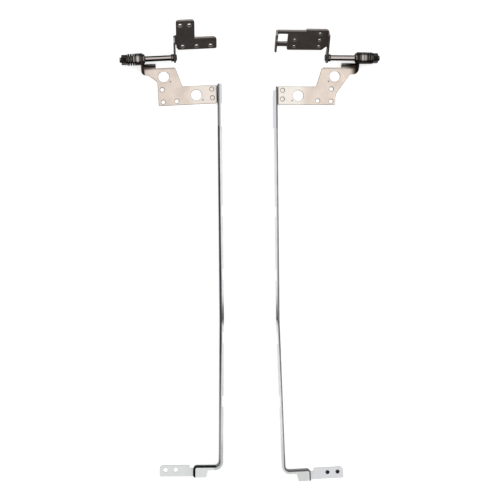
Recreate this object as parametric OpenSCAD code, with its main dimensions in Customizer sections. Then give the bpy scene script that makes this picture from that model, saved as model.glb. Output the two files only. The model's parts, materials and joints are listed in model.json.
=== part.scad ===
// Pair of friction hinges for a notebook computer's lid, each with its display side rail.
// Each hinge is drawn in its own frame first: X runs outwards along the shaft from the
// outer face of the rail, Y runs from the lid side to the base side, and the shaft's
// axis is at Y = 0. Z = 0 is the table that the hinges lie on.

/* [Pair] */
// Distance between the outer faces of the two side rails
rail_spacing = 32.9; // [26:0.1:60]
// Angle by which the left hinge head is turned from square to its rail
left_turn = 2.8; // [0:0.1:3.4]
// Angle by which the right hinge head is turned from square to its rail
right_turn = 0.3; // [0:0.1:3.4]
// How much further up the table the left hinge lies than the right one
left_ahead = 0.8; // [0:0.1:2]
// Opening angle between base and lid as the hinges lie, 0 being shut
open_angle = 135; // [110:1:160]
// Height of the shaft's axis above the table
axis_h = 4.6; // [4.5:0.1:6]

/* [Lid plate] */
// Sheet thickness of the lid plate and its ear
plate_t = 1; // [0.8:0.1:1.2]
// Inside radius of the lid plate's bends
plate_bend = 0.8; // [0.4:0.1:0.9]
// Distance from the shaft's axis down to the plate's upper edge
plate_top = 4.8; // [4.7:0.1:5.2]
// Distance from the shaft's axis down to the arm's upper edge
arm_top = 15.3; // [14.8:0.1:16]
// Distance from the shaft's axis down to the arm's lower edge
arm_low = 25.4; // [24.8:0.1:28]
// Distance from the rail's outer face to the arm's inner end
arm_end = 0.5; // [0.4:0.1:1]
// Distance from the shaft's axis down to the ear's lower edge
ear_low = 8.3; // [7.5:0.1:9]
// Radius of the ear round the shaft
ear_r = 3.3; // [3.1:0.1:3.6]
// Radius of the plate's corner at the foot of the ear
ear_corner = 2.2; // [1:0.1:2.5]
// Distance from the shaft's axis down to the outer face of the turned-up lip
lip_face = 2.5; // [2.4:0.1:2.8]
// Height of the turned-up lip's edge above the table
lip_h = 2.7; // [2.5:0.1:2.9]
// Radius of the two large holes
big_hole_r = 2.95; // [2.5:0.05:3.1]
// Radius of the three small screw holes
lid_hole_r = 1.1; // [1:0.05:1.3]
// Depth of the bevel round each small screw hole
lid_bevel = 0.25; // [0.1:0.05:0.35]
// Radius of the two clinch joints that fasten the rail
clinch_r = 1.2; // [1:0.05:1.4]
// Depth of the dimple over each clinch joint
dimple_d = 0.45; // [0.2:0.05:0.5]
// Depth of the punch mark beside each large hole
punch_d = 0.25; // [0.1:0.05:0.4]

/* [Left lid plate] */
// Distance from the rail to the ear's outer face, left hinge
left_ear = 40.9; // [40:0.1:43]
// Distance from the rail to the plate's outer edge, left hinge
left_side = 32.5; // [32:0.1:33]
// Distance from the rail to the upper edge's inner corner, left hinge
left_top_corner = 22.3; // [21:0.1:23.5]
// Distance from the rail to the large hole beside the ear, left hinge
left_big_hole = 28.85; // [28:0.05:29.5]

/* [Right lid plate] */
// Distance from the rail to the ear's outer face, right hinge
right_ear = 45; // [44:0.1:47]
// Distance from the rail to the plate's outer edge, right hinge
right_side = 32.3; // [31.6:0.1:32.6]
// Distance from the rail to the upper edge's inner corner, right hinge
right_top_corner = 25; // [24:0.1:26.5]
// Distance from the rail to the large hole beside the ear, right hinge
right_big_hole = 32; // [31.4:0.05:32.6]

/* [Side rail] */
// Sheet thickness of the rail
rail_t = 0.6; // [0.5:0.05:0.8]
// Inside radius of the rail's bends
rail_bend = 0.3; // [0.2:0.05:0.5]
// Height of the rail above the table
rail_h = 4; // [3.5:0.1:5]
// Width of the left rail's flange, from the web's outer face
left_rail_w = 2.25; // [2.1:0.05:3.2]
// Width of the right rail's flange, from the web's outer face
right_rail_w = 2; // [1.95:0.05:3.2]
// Distance from the shaft's axis down to the left rail's upper end
left_rail_top = 15; // [14.2:0.1:15.2]
// Distance from the shaft's axis down to the right rail's upper end
right_rail_top = 15.6; // [14.5:0.1:15.6]
// Distance from the shaft's axis down to the slight bend in the rail
rail_knee = 144; // [130:1:160]
// Angle by which the left rail spreads outwards below that bend
left_spread = 0.9; // [0.5:0.05:3]
// Angle by which the right rail spreads outwards below that bend
right_spread = 1.75; // [0.5:0.05:3]
// Distance along the left rail from the shaft's axis to the foot's upper edge
left_rail_drop = 223.9; // [215:0.1:240]
// Distance along the right rail from the shaft's axis to the foot's upper edge
right_rail_drop = 226.6; // [215:0.1:240]
// Length of the rail's tab under the lid plate's arm
tab_len = 8.3; // [6.5:0.1:8.6]
// Number of notches in the rail's flange
notch_count = 4; // [1:1:4]
// Distance from the shaft's axis to the first notch
notch_start = 84.5; // [75:0.5:90]
// Distance between notches
notch_pitch = 34.7; // [28:0.1:35]
// Length of each notch
notch_len = 5.5; // [3:0.1:8]
// Depth of each notch
notch_d = 0.7; // [0.3:0.05:0.9]

/* [Foot] */
// Radius of the web's outer face in the rail's lower corner
corner_r = 2.2; // [1.5:0.1:3]
// Distance from the rail to the step down to the foot
foot_step = 13.8; // [12:0.1:15]
// Length of the foot beyond the step
foot_len = 18.5; // [17.5:0.1:22]
// Width of the foot
foot_w = 6.2; // [5.4:0.1:7]
// Distance from the step to the first foot hole
foot_hole_1 = 9.7; // [8:0.1:10.5]
// Distance between the two foot holes
foot_pitch = 5.6; // [5:0.1:6.5]
// Distance from the foot's upper edge to the line of its holes
foot_hole_in = 2.7; // [2.4:0.1:3.2]
// Radius of the foot holes
foot_hole_r = 1.15; // [1:0.05:1.3]

/* [Shaft and friction stack] */
// Radius of the hinge shaft
shaft_r = 1.5; // [1.4:0.05:1.6]
// Distance across the shaft's two flats
flat_w = 2.4; // [2.2:0.05:2.6]
// Free length of the left shaft between its collars
left_free = 13.9; // [12:0.1:16]
// Free length of the right shaft between its collars
right_free = 13.2; // [11:0.1:15]
// Radius of the collar against the ear
collar_r = 2.8; // [2.6:0.05:2.85]
// Length of that collar's straight part
collar_len = 0.5; // [0.3:0.1:1]
// Length of the cone from that collar down to the shaft
cone_len = 0.8; // [0.5:0.1:1.2]
// Radius of the collar against the base bracket
end_collar_r = 2; // [1.8:0.05:2.2]
// Length of that collar
end_collar_len = 1.5; // [1:0.1:2]
// Radius of the riveted head on the shaft's end
rivet_r = 1.9; // [1.6:0.05:2.2]
// Height of the riveted head
rivet_h = 0.6; // [0.3:0.05:0.8]
// Radius of the washers and disc springs outside the ear
washer_r = 3.25; // [3:0.05:3.3]
// Thickness of the thin washer between collar and ear
inner_washer_t = 0.4; // [0.3:0.05:0.6]
// Thickness of the friction washer that the ear holds
ear_washer_t = 1; // [0.6:0.1:1.4]
// Thickness of the pressure washer
pressure_washer_t = 1.2; // [0.8:0.1:1.6]
// Thickness of the thrust washer
thrust_washer_t = 1; // [0.6:0.1:1.4]
// Sheet thickness of a disc spring
disc_t = 0.4; // [0.2:0.05:0.45]
// Height of a disc spring's cone
disc_cone = 0.25; // [0.2:0.05:0.45]
// Thickness of the washer under the nut
end_washer_t = 0.5; // [0.4:0.1:0.8]
// Distance across the nut's flats
nut_af = 4.8; // [4.4:0.1:5.5]
// Height of the nut
nut_h = 2.8; // [2:0.1:3.5]
// How much smaller the threaded end's radius is than the shaft's
thread_relief = 0.05; // [0.02:0.01:0.15]
// Length of threaded end that stands out of the nut
thread_out = 1; // [0.6:0.1:2]

/* [Base brackets] */
// Sheet thickness of the base brackets
bracket_t = 1; // [0.8:0.1:1.2]
// Inside radius of the brackets' bends
bracket_bend = 0.5; // [0.3:0.1:0.7]
// Distance from the shaft's axis to the bracket's far face
bracket_drop = 3.25; // [3:0.05:3.6]
// Radius of the bracket's flange round the shaft
boss_r = 2.8; // [2.5:0.1:3]
// Radius of the left bracket's screw holes
left_base_hole_r = 1.25; // [1.1:0.05:1.4]
// Radius of the right bracket's screw holes
right_base_hole_r = 1.05; // [0.9:0.05:1.3]
// Height of the left bracket's upper leg above the shaft's axis
leg_top = 21.9; // [21:0.1:24]
// Height of the left bracket's lower arm above the shaft's axis
base_arm_top = 10.7; // [10:0.1:12.6]
// Height of the right bracket above the shaft's axis
right_top = 16.6; // [16.2:0.1:17.4]
// Radius of the outer corner over the right bracket's fold
right_fold_corner = 2.6; // [1.5:0.1:3]
// Height of the end wall on the right bracket
end_wall_h = 4.8; // [3.5:0.1:5]
// Depth of the collar drawn out behind each screw hole of the brackets
hole_collar = 1.2; // [0.4:0.1:1.2]

/* [Running gaps] */
// Gap all round between the shaft and what turns on it
running_gap = 0.05; // [0.02:0.01:0.08]
// Gap all round between pieces that are keyed or pressed together
key_gap = 0.03; // [0.02:0.01:0.05]

/* [Hidden] */
$fn = 48;
// Larger than any size here, for cutting shapes
far = 300;
// Flat facets in each rounded corner of an outline
arc_steps = 6;
overlap = 0.1;

// Sheet-metal bends
plate_z = rail_t;
thread_r = shaft_r - thread_relief;
plate_out = plate_bend + plate_t;
rail_out = rail_bend + rail_t;
bracket_out = bracket_bend + bracket_t;
// The ear's lower edge turns up from the plate at this height
ear_base = plate_z + plate_out;
lip_shift = 0.4;

// The friction stack, counted outwards from the ear's outer face
pressure_at = ear_washer_t;
thrust_at = pressure_at + pressure_washer_t;
discs_at = thrust_at + thrust_washer_t;
disc_count = 6;
disc_pitch = disc_t + disc_cone;
end_washer_at = discs_at + disc_count * disc_pitch;
nut_at = end_washer_at + end_washer_t;
tip_at = nut_at + nut_h + thread_out;
// The same pieces inwards from the ear's outer face
inner_washer_at = -plate_t - inner_washer_t;
collar_at = inner_washer_at - collar_len;
cone_at = collar_at - cone_len;
disc_bore = shaft_r + 0.1;
end_washer_r = washer_r - 0.25;
nut_bevel = 0.25;
thread_chamfer = 0.25;
// The washer's peg that holds it still in the ear
peg_r = 0.4;
peg_len = 0.6;
peg_at = (shaft_r + ear_r) / 2;

// Where each bracket's flange has its outer face
left_flange = left_ear + cone_at - left_free - end_collar_len;
right_flange = right_ear + cone_at - right_free - end_collar_len;
base_tilt = 180 - open_angle;

// Lid plate holes, from the rail and down from the axis
big_hole_drop = 9.6;
arm_hole = [11.6, (arm_top + arm_low) / 2];
lid_holes = [[30.1, 16.6], [29.9, arm_low - 2], [22.5, arm_low - 2.2]];
clinches = [[3, arm_top + 2.2], [2.9, arm_low - 3.1]];
punch_mark = [-3.4, -2.8];
punch_r = 0.45;
throat_slant = 3.4;
boss_lift = 0.05;
// Where the turned-up lips begin, from the rail
left_lip_len = 8;
left_lip = left_ear - left_lip_len;
right_lip_len = 9.3;
right_lip = right_ear - right_lip_len;
// The slanted neck between the plate's outer edge and the ear's fold
left_knee = 12.2;
left_knee_round = 1;
left_neck = left_ear - 3.4;
right_knee = 19.8;
right_knee_round = 7;
right_neck = right_ear - 4.2;
// Radii of the plate's other corners
small_round = 0.4;
side_round = 0.6;
neck_round = 1;

// Rail and foot
lobe_at = foot_step / 2;
lobe_slant = 0.8;
relief_len = 2.2;
foot_chamfer = 1.25;
cut_slant = 0.4;
// The rail's slight bend is bridged by a core this much inside its faces
knee_inset = 0.02;
knee_lap = 0.15;
fold_steps = 5;
foot_end = foot_step + foot_len;
foot_holes = [foot_step + foot_hole_1, foot_step + foot_hole_1 + foot_pitch];
step_corner = 1.75;
insert_bore = 0.8;
insert_floor = 0.15;
tab_top = arm_top + 0.3;
tab_low = arm_low - 0.3;
waist_at = 32.2;
waist_len = 12.6;
waist_d = 0.6;
// The right rail's flange starts lower and is wider at first
right_flange_top = 17.9;
wide_end = 38.5;
wide_w = 2.5;

// Base brackets, along the shaft from the rail and up from the axis
left_fold = [6.8, 12.3];
right_fold = [5.6, right_top];
leg_side = 11.2;
left_leg_holes = leg_top - 3.2;
left_arm_holes = 5.3;
left_base_holes = [
    [18.9, left_leg_holes], [14, left_leg_holes],
    [17.8, left_arm_holes], [10.2, left_arm_holes], [2.6, left_arm_holes]
];
right_hole_low = 5.5;
right_hole_rise = 4.1;
right_hole_outer = 22.4;
right_hole_inner = 8.8;
right_base_holes = [
    [right_hole_outer, right_hole_low + 2 * right_hole_rise],
    [right_hole_outer, right_hole_low + right_hole_rise],
    [right_hole_outer, right_hole_low],
    [right_hole_inner, right_hole_low + right_hole_rise],
    [right_hole_inner, right_hole_low]
];
left_end = -0.7;
left_low = 3.4;
left_low_slope = [1.1, 1.6];
left_end_round = 1.9;
leg_round = 1.6;
right_low = 3.5;
right_low_slope = [2, 1.8];
end_wall_at = -2.1;
end_wall_low = 3.9;
end_wall_top = 15.2;
ladder_top = 15.8;
end_wall_round = 0.9;
ladder_low = 5.8;
ladder_end = 4.8;
window_low = 8.4;
window_high = ladder_top - 2.1;
right_step_at = 14.7;
right_step = right_top - ladder_top;
fold_clear = 0.1;
flange_rise = 1.1;
collar_wall = 0.4;

// The pair in its own frame: origin under the middle of everything
pair_shift = (right_ear - left_ear) / 2;
base_reach = leg_top * cos(base_tilt) + bracket_drop * sin(base_tilt);
hinge_y = (max(left_rail_drop, right_rail_drop) + foot_w - base_reach) / 2;

// Points of the arc of radius r that rounds the corner q between p and s
function corner_arc(p, q, s, r) =
    let (
        a = (p - q) / norm(p - q),
        b = (s - q) / norm(s - q),
        half = acos(a * b) / 2,
        centre = q + (a + b) / norm(a + b) * r / sin(half),
        from = q + a * r / tan(half) - centre,
        to = q + b * r / tan(half) - centre,
        start = atan2(from[1], from[0]),
        turn = atan2(from[0] * to[1] - from[1] * to[0], from * to)
    )
    [for (i = [0 : arc_steps])
        centre + r * [cos(start + turn * i / arc_steps), sin(start + turn * i / arc_steps)]];

// An outline from corners given as [x, y, radius]
function rounded(c) = [
    for (i = [0 : len(c) - 1])
        let (
            n = len(c),
            p = [c[(i + n - 1) % n][0], c[(i + n - 1) % n][1]],
            q = [c[i][0], c[i][1]],
            s = [c[(i + 1) % n][0], c[(i + 1) % n][1]]
        )
        each (c[i][2] == 0 ? [q] : corner_arc(p, q, s, c[i][2]))
];

// The point where a line from p touches a circle of radius r round the origin
function tangent_point(p, r, side) =
    let (a = atan2(p[1], p[0]) + side * acos(r / norm(p)))
    r * [cos(a), sin(a)];

// Placing: a hinge into the pair, and a piece into a hinge. Each side hands its own sizes down

module left_hinge() {
    $turn = left_turn;
    $spread = left_spread;
    $drop = left_rail_drop;
    $rail_w = left_rail_w;
    $rail_top = left_rail_top;
    translate([-pair_shift - rail_spacing / 2, hinge_y + left_ahead, 0]) mirror([1, 0, 0]) children();
}

module right_hinge() {
    $turn = right_turn;
    $spread = right_spread;
    $drop = right_rail_drop;
    $rail_w = right_rail_w;
    $rail_top = right_rail_top;
    translate([rail_spacing / 2 - pair_shift, hinge_y, 0]) children();
}

// The head is turned about the middle of its joint with the rail
module head() {
    middle = -(arm_top + arm_low) / 2;
    translate([0, middle, 0]) rotate([0, 0, -$turn]) translate([0, -middle, 0]) children();
}

// The base side turns about the shaft. Here Y runs up the bracket and Z away from its face
module base_side() {
    head() translate([0, 0, axis_h]) rotate([base_tilt, 0, 0]) children();
}

// Starts a turned piece at x on the shaft's axis, inside base_side or ear_side
module on_shaft(x) {
    translate([x, 0, 0]) rotate([0, 90, 0]) children();
}

module ear_side() {
    head() translate([0, 0, axis_h]) children();
}

// Everything left of X = 0 and above Z = 0, with that edge rounded, along Y
module rounded_edge(r) {
    translate([0, far / 2, 0]) rotate([90, 0, 0]) linear_extrude(far) {
        translate([-far, 0]) square([far - r, far]);
        translate([-far, r]) square([far, far - r]);
        translate([-r, r]) circle(r);
    }
}

// What is cut away to round an upright corner of radius r at the origin
module corner_cutter(r) {
    translate([0, 0, -far / 2]) linear_extrude(far) difference() {
        translate([-r, -overlap]) square([r + overlap, r + overlap]);
        translate([-r, r]) circle(r);
    }
}

// Section of the shaft where washers are keyed to it, grown by gap all round
module key_section(gap) {
    intersection() {
        circle(shaft_r + gap);
        square([flat_w + 2 * gap, far], center = true);
    }
}

// Lid plates

function plate_outline(ear, side, knee, knee_round, neck, lip, top_corner) = rounded([
    [arm_end, -arm_low, small_round],
    [side, -arm_low, side_round],
    [side, -knee, knee_round],
    [neck, -ear_low, neck_round],
    [ear, -ear_low, 0],
    [ear, -lip_face, 0],
    [lip, -lip_face, lip_shift],
    [lip, -plate_top, 0],
    [top_corner, -plate_top, neck_round],
    [top_corner - throat_slant, -arm_top, small_round],
    [arm_end, -arm_top, small_round]
]);

module screw_hole(place) {
    translate([place[0], -place[1], -far / 2]) cylinder(r = lid_hole_r, h = far);
    translate([place[0], -place[1], plate_z + plate_t - lid_bevel])
        cylinder(r1 = lid_hole_r, r2 = lid_hole_r + lid_bevel, h = lid_bevel);
    translate([place[0], -place[1], plate_z + plate_t])
        cylinder(r = lid_hole_r + lid_bevel, h = overlap);
}

// The ear stands on its fold and closes round the shaft
module ear_wall(ear) {
    south = [-ear_low, ear_base - axis_h];
    translate([ear - plate_t, 0, axis_h]) rotate([90, 0, 90]) linear_extrude(plate_t) {
        circle(ear_r);
        polygon([south, tangent_point(south, ear_r, -1), [0, 0], [-lip_face, ear_base - axis_h]]);
    }
}

module plate_sheet(outline, ear) {
    // The outer faces of both bends, less the space that they enclose
    difference() {
        intersection() {
            translate([0, 0, plate_z]) linear_extrude(plate_out) polygon(outline);
            translate([ear, 0, plate_z]) rounded_edge(plate_out);
            translate([0, -lip_face, plate_z]) rotate([0, 0, 90]) rounded_edge(plate_out);
        }
        intersection() {
            translate([ear - plate_t, 0, plate_z + plate_t]) rounded_edge(plate_bend);
            translate([0, -lip_face - plate_t, plate_z + plate_t])
                rotate([0, 0, 90]) rounded_edge(plate_bend);
        }
    }
}

// The plate's metal pressed down through the rail's tab
module clinch_bosses() {
    for (place = clinches)
        translate([place[0], -place[1], boss_lift])
            cylinder(r = clinch_r, h = plate_z + overlap - boss_lift);
}

// The shaft's bore in the ear, and the blind hole for the washer's peg
module ear_bores(ear) {
    translate([ear - plate_t - overlap, 0, axis_h]) rotate([0, 90, 0])
        cylinder(r = shaft_r + running_gap, h = plate_t + 2 * overlap);
    translate([ear - peg_len - key_gap, 0, axis_h + peg_at]) rotate([0, 90, 0])
        cylinder(r = peg_r + key_gap, h = peg_len + key_gap + overlap);
}

module lid_plate(outline, ear, lip, big_hole) {
    large_holes = [[big_hole, -big_hole_drop], [arm_hole[0], -arm_hole[1]]];
    color("#e9dccf") head() difference() {
        union() {
            plate_sheet(outline, ear);
            ear_wall(ear);
            translate([lip, -lip_face - plate_t, ear_base])
                cube([ear - lip, plate_t, lip_h - ear_base]);
            clinch_bosses();
        }
        translate([ear, -ear_low, 0]) corner_cutter(ear_corner);
        ear_bores(ear);
        for (place = lid_holes) screw_hole(place);
        for (place = clinches)
            translate([place[0], -place[1], plate_z + plate_t - dimple_d])
                cylinder(r = clinch_r, h = dimple_d + overlap);
        for (hole = large_holes) {
            translate([hole[0], hole[1], -far / 2]) cylinder(r = big_hole_r, h = far);
            translate([hole[0] + punch_mark[0], hole[1] + punch_mark[1], plate_z + plate_t - punch_d])
                cylinder(r1 = punch_r / 2, r2 = punch_r, h = punch_d);
        }
    }
}

// Side rails

// A quarter of a bend's section, in the corner between +X and +Y
module quarter_bend(inner, outer) {
    difference() {
        intersection() {
            circle(outer);
            square(outer);
        }
        circle(inner);
    }
}

// Points along a quarter turn of radius r from angle a, forwards or backwards
function quarter_points(centre, r, from, way) = [
    for (i = [0 : fold_steps])
        let (a = from + way * 90 * i / fold_steps)
        centre + r * [cos(a), sin(a)]
];

// The same quarter bend in flat steps, as the rail is folded
module stepped_bend() {
    polygon(concat(quarter_points([0, 0], rail_out, 0, 1), quarter_points([0, 0], rail_bend, 90, -1)));
}

// The rail's section: X = 0 is the web's outer face, Y = 0 the table. Inset draws it smaller all round
module rail_profile(width, inset = 0) {
    fold = [-rail_out, rail_h - rail_out];
    polygon(concat(
        [[-inset, inset]],
        quarter_points(fold, rail_out - inset, 0, 1),
        [[inset - width, rail_h - inset], [inset - width, rail_h - rail_t + inset]],
        quarter_points(fold, rail_bend + inset, 90, -1),
        [[inset - rail_t, inset]]
    ));
}

// Length of straight rail below the slight bend
function lower_len() = $drop - rail_knee - corner_r;

// Follows the rail past its slight bend
module past_knee() {
    translate([0, -rail_knee, 0]) rotate([0, 0, $spread]) children();
}

// Places something at a distance along the rail from the shaft's axis
module along_rail(d) {
    if (d < rail_knee) translate([0, -d, 0]) children();
    if (d >= rail_knee) past_knee() translate([0, rail_knee - d, 0]) children();
}

// The rail bent through a quarter turn, with the centre on its outer side
module rail_bow() {
    translate([corner_r, 0, 0]) rotate([0, 0, 180]) rotate_extrude(angle = 90)
        translate([corner_r, 0]) mirror([1, 0]) rail_profile($rail_w);
}

// What is cut from the flange's free edge over a length, with slanted ends
module flange_cut(length, depth) {
    translate([-$rail_w, 0, rail_h - rail_out]) linear_extrude(rail_out + overlap)
        polygon([
            [-overlap, -length / 2 - cut_slant],
            [0, -length / 2 - cut_slant],
            [depth, -length / 2],
            [depth, length / 2],
            [0, length / 2 + cut_slant],
            [-overlap, length / 2 + cut_slant]
        ]);
}

// A straight length of rail from Y = top down to Y = low
module rail_length(top, low, inset = 0) {
    translate([0, top, 0]) rotate([90, 0, 0]) linear_extrude(top - low) rail_profile($rail_w, inset);
}

module rail_strip() {
    difference() {
        rail_length(-$rail_top, -rail_knee);
        translate([-rail_t - overlap, -tab_low, -overlap])
            cube([rail_t + 2 * overlap, tab_low - tab_top, rail_out + overlap]);
    }
    past_knee() {
        rail_length(knee_lap, -knee_lap, knee_inset);
        rail_length(-knee_inset, -lower_len());
        translate([0, -lower_len(), 0]) rail_bow();
    }
}

// The tab that the lid plate is clinched to
module rail_tab() {
    translate([0, -tab_top, 0]) rotate([90, 0, 0]) linear_extrude(tab_low - tab_top) {
        translate([rail_bend, rail_out]) rotate(180) stepped_bend();
        translate([rail_bend, 0]) square([tab_len - rail_bend, rail_t]);
    }
}

// The raised part of the foot, as high as the rail: Y = 0 is the foot's upper edge
module foot_shelf() {
    translate([corner_r, 0, 0]) rotate([90, 0, 90])
        linear_extrude(foot_step - step_corner - corner_r) rail_profile($rail_w);
    translate([foot_step - step_corner, -step_corner, 0]) rotate_extrude(angle = 90)
        translate([step_corner, 0]) rail_profile(step_corner);
    translate([0, 0, rail_h - rail_t]) linear_extrude(rail_t)
        polygon(rounded([
            [lobe_at - lobe_slant, -$rail_w, 0.4],
            [lobe_at, -foot_w, 0.5],
            [foot_step - rail_out, -foot_w, 0],
            [foot_step - rail_out, -step_corner, 0],
            [foot_step - step_corner, -step_corner, 0],
            [foot_step - step_corner, -rail_out, 0],
            [lobe_at - lobe_slant - rail_t, -rail_out, 0],
            [lobe_at - lobe_slant - rail_t, -$rail_w, 0]
        ]));
}

// The step down from the shelf, and the foot plate on the table
module foot_plate() {
    translate([0, -step_corner, 0]) rotate([90, 0, 0]) linear_extrude(foot_w - step_corner) {
        translate([foot_step - rail_out, rail_h - rail_out]) stepped_bend();
        translate([foot_step - rail_t, rail_out]) square([rail_t, rail_h - 2 * rail_out]);
        translate([foot_step + rail_bend, rail_out]) rotate(180) stepped_bend();
    }
    linear_extrude(rail_t)
        polygon(rounded([
            [foot_step + rail_bend, -foot_w, 0],
            [foot_end, -foot_w, 0.55],
            [foot_end, -foot_chamfer, 0.4],
            [foot_end - foot_chamfer, 0, 0.4],
            [foot_step + relief_len, 0, 0.3],
            [foot_step + relief_len, -step_corner, 0.4],
            [foot_step + rail_bend, -step_corner, 0]
        ]));
}

// Places something in the foot's own frame
module foot() {
    past_knee() translate([0, -lower_len() - corner_r, 0]) children();
}

module side_rail(flange_top, waist, wide) {
    color("#d8d7d4") difference() {
        union() {
            rail_strip();
            translate([-wide, -wide_end, rail_h - rail_t])
                cube([wide - rail_out, wide_end - flange_top, rail_t]);
            rail_tab();
            foot() foot_shelf();
            foot() foot_plate();
        }
        for (i = [0 : notch_count - 1])
            along_rail(notch_start + i * notch_pitch) flange_cut(notch_len, notch_d);
        if (waist > 0) along_rail(waist_at) flange_cut(waist_len, waist);
        translate([-far, -flange_top, rail_h - rail_out]) cube([far - rail_t, far, far]);
        head() for (place = clinches)
            translate([place[0], -place[1], -overlap])
                cylinder(r = clinch_r + key_gap, h = rail_t + 2 * overlap);
        foot() for (u = foot_holes)
            translate([u, -foot_hole_in, -overlap])
                cylinder(r = foot_hole_r, h = rail_t + 2 * overlap);
    }
}

// A blackened insert with a blind bore, flush in a foot hole
module foot_insert(u) {
    color("#2a2725") foot() translate([u, -foot_hole_in, 0]) difference() {
        cylinder(r = foot_hole_r - key_gap, h = rail_t);
        translate([0, 0, insert_floor]) cylinder(r = insert_bore, h = rail_t);
    }
}

// Shaft and friction stack

// The threaded end, with the shaft's two flats running out to its tip
module shaft_tip() {
    intersection() {
        rotate_extrude() polygon([
            [0, 0],
            [thread_r, 0],
            [thread_r, tip_at - nut_at - thread_chamfer],
            [thread_r - thread_chamfer, tip_at - nut_at],
            [0, tip_at - nut_at]
        ]);
        translate([-flat_w / 2, -far / 2, -overlap]) cube([flat_w, far, far]);
    }
}

module hinge_shaft(ear, flange) {
    color("#5d5651") base_side() {
        on_shaft(flange - bracket_t - rivet_h)
            cylinder(r1 = rivet_r - rivet_h / 2, r2 = rivet_r, h = rivet_h);
        on_shaft(flange - bracket_t) linear_extrude(bracket_t) key_section(0);
        on_shaft(flange) cylinder(r = end_collar_r, h = end_collar_len);
        on_shaft(flange + end_collar_len)
            cylinder(r = shaft_r, h = ear + cone_at - flange - end_collar_len);
        on_shaft(ear + cone_at) cylinder(r1 = shaft_r, r2 = collar_r, h = cone_len);
        on_shaft(ear + collar_at) cylinder(r = collar_r, h = collar_len);
        on_shaft(ear + inner_washer_at) linear_extrude(nut_at - inner_washer_at) key_section(0);
        on_shaft(ear + nut_at) shaft_tip();
    }
}

// A flat washer that turns with the shaft
module keyed_washer(at, radius, thickness) {
    color("#3b3633") base_side() on_shaft(at) linear_extrude(thickness) difference() {
        circle(radius);
        key_section(key_gap);
    }
}

// The washer that a peg holds still in the ear
module ear_washer(ear) {
    color("#3b3633") ear_side() {
        on_shaft(ear) difference() {
            cylinder(r = washer_r, h = ear_washer_t);
            translate([0, 0, -overlap])
                cylinder(r = shaft_r + running_gap, h = ear_washer_t + 2 * overlap);
        }
        on_shaft(ear - peg_len) translate([-peg_at, 0, 0]) cylinder(r = peg_r, h = peg_len);
    }
}

// Disc springs stand in pairs, each pair touching at its rims
module disc_spring(ear, i) {
    inner_z = i % 2 == 0 ? 0 : disc_cone;
    outer_z = disc_cone - inner_z;
    color("#4a4441") base_side() on_shaft(ear + discs_at + i * disc_pitch) rotate_extrude()
        polygon([
            [disc_bore, inner_z],
            [washer_r, outer_z],
            [washer_r, outer_z + disc_t],
            [disc_bore, inner_z + disc_t]
        ]);
}

module lock_nut(ear) {
    corner = nut_af / 2 / cos(30);
    color("#4a4441") base_side() on_shaft(ear + nut_at) difference() {
        intersection() {
            cylinder(r = corner, h = nut_h, $fn = 6);
            rotate_extrude() polygon([
                [0, 0],
                [corner - nut_bevel, 0],
                [corner, nut_bevel],
                [corner, nut_h - nut_bevel],
                [corner - nut_bevel, nut_h],
                [0, nut_h]
            ]);
        }
        translate([0, 0, -overlap]) cylinder(r = thread_r + key_gap, h = nut_h + 2 * overlap);
    }
}

// Base brackets. X runs along the shaft, Y up the bracket, Z away from its far face

// A fold and the wall that closes round the shaft, at the outer end of a bracket
module shaft_flange(flange, low, high, rise) {
    fold_w = bracket_out - bracket_drop;
    foot_low = [low, fold_w];
    foot_high = [high, fold_w + rise];
    translate([flange - bracket_out, high, fold_w]) rotate([90, 0, 0])
        linear_extrude(high - low) rotate(-90) quarter_bend(bracket_bend, bracket_out);
    translate([flange - bracket_t, 0, 0]) rotate([90, 0, 90]) linear_extrude(bracket_t)
        difference() {
            union() {
                circle(boss_r);
                polygon([
                    foot_low,
                    tangent_point(foot_low, boss_r, -1),
                    tangent_point(foot_high, boss_r, 1),
                    foot_high,
                    [high, fold_w]
                ]);
            }
            rotate(90) key_section(key_gap);
        }
}

// A sheet with screw holes, each drawn out into a short collar behind the far face
module bracket_plate(outline, holes, hole_r) {
    difference() {
        union() {
            translate([0, 0, -bracket_drop]) linear_extrude(bracket_t) polygon(outline);
            for (place = holes) translate([place[0], place[1], -bracket_drop - hole_collar])
                cylinder(r = hole_r + collar_wall, h = hole_collar + overlap);
        }
        for (place = holes) translate([place[0], place[1], -far / 2]) cylinder(r = hole_r, h = far);
    }
}

module base_bracket_left() {
    line = left_flange - bracket_out;
    color("#2d2926") base_side() {
        bracket_plate(rounded([
            [left_end, left_low, left_end_round / 2],
            [line - fold_clear - left_low_slope[0], left_low, small_round],
            [line - fold_clear, left_low + left_low_slope[1], small_round],
            [line - fold_clear, left_fold[0], 0],
            [line, left_fold[0], 0],
            [line, left_fold[1], 0],
            [line - fold_clear, left_fold[1], 0],
            [line - fold_clear, leg_top, leg_round],
            [leg_side, leg_top, leg_round],
            [leg_side, base_arm_top, small_round],
            [left_end, base_arm_top, left_end_round]
        ]), left_base_holes, left_base_hole_r);
        shaft_flange(left_flange, left_fold[0], left_fold[1], flange_rise);
    }
}

module end_wall() {
    fold_w = bracket_out - bracket_drop;
    top_w = end_wall_h - bracket_drop;
    translate([end_wall_at + bracket_out, ladder_top, fold_w]) rotate([90, 0, 0])
        linear_extrude(ladder_top - ladder_low) rotate(180)
            quarter_bend(bracket_bend, bracket_out);
    translate([end_wall_at, 0, 0]) rotate([90, 0, 90]) linear_extrude(bracket_t)
        polygon(rounded([
            [ladder_low, fold_w, 0],
            [ladder_top, fold_w, 0],
            [end_wall_top, top_w, end_wall_round],
            [end_wall_low, top_w, end_wall_round],
            [end_wall_low, fold_w + bracket_bend, 0]
        ]));
}

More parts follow.
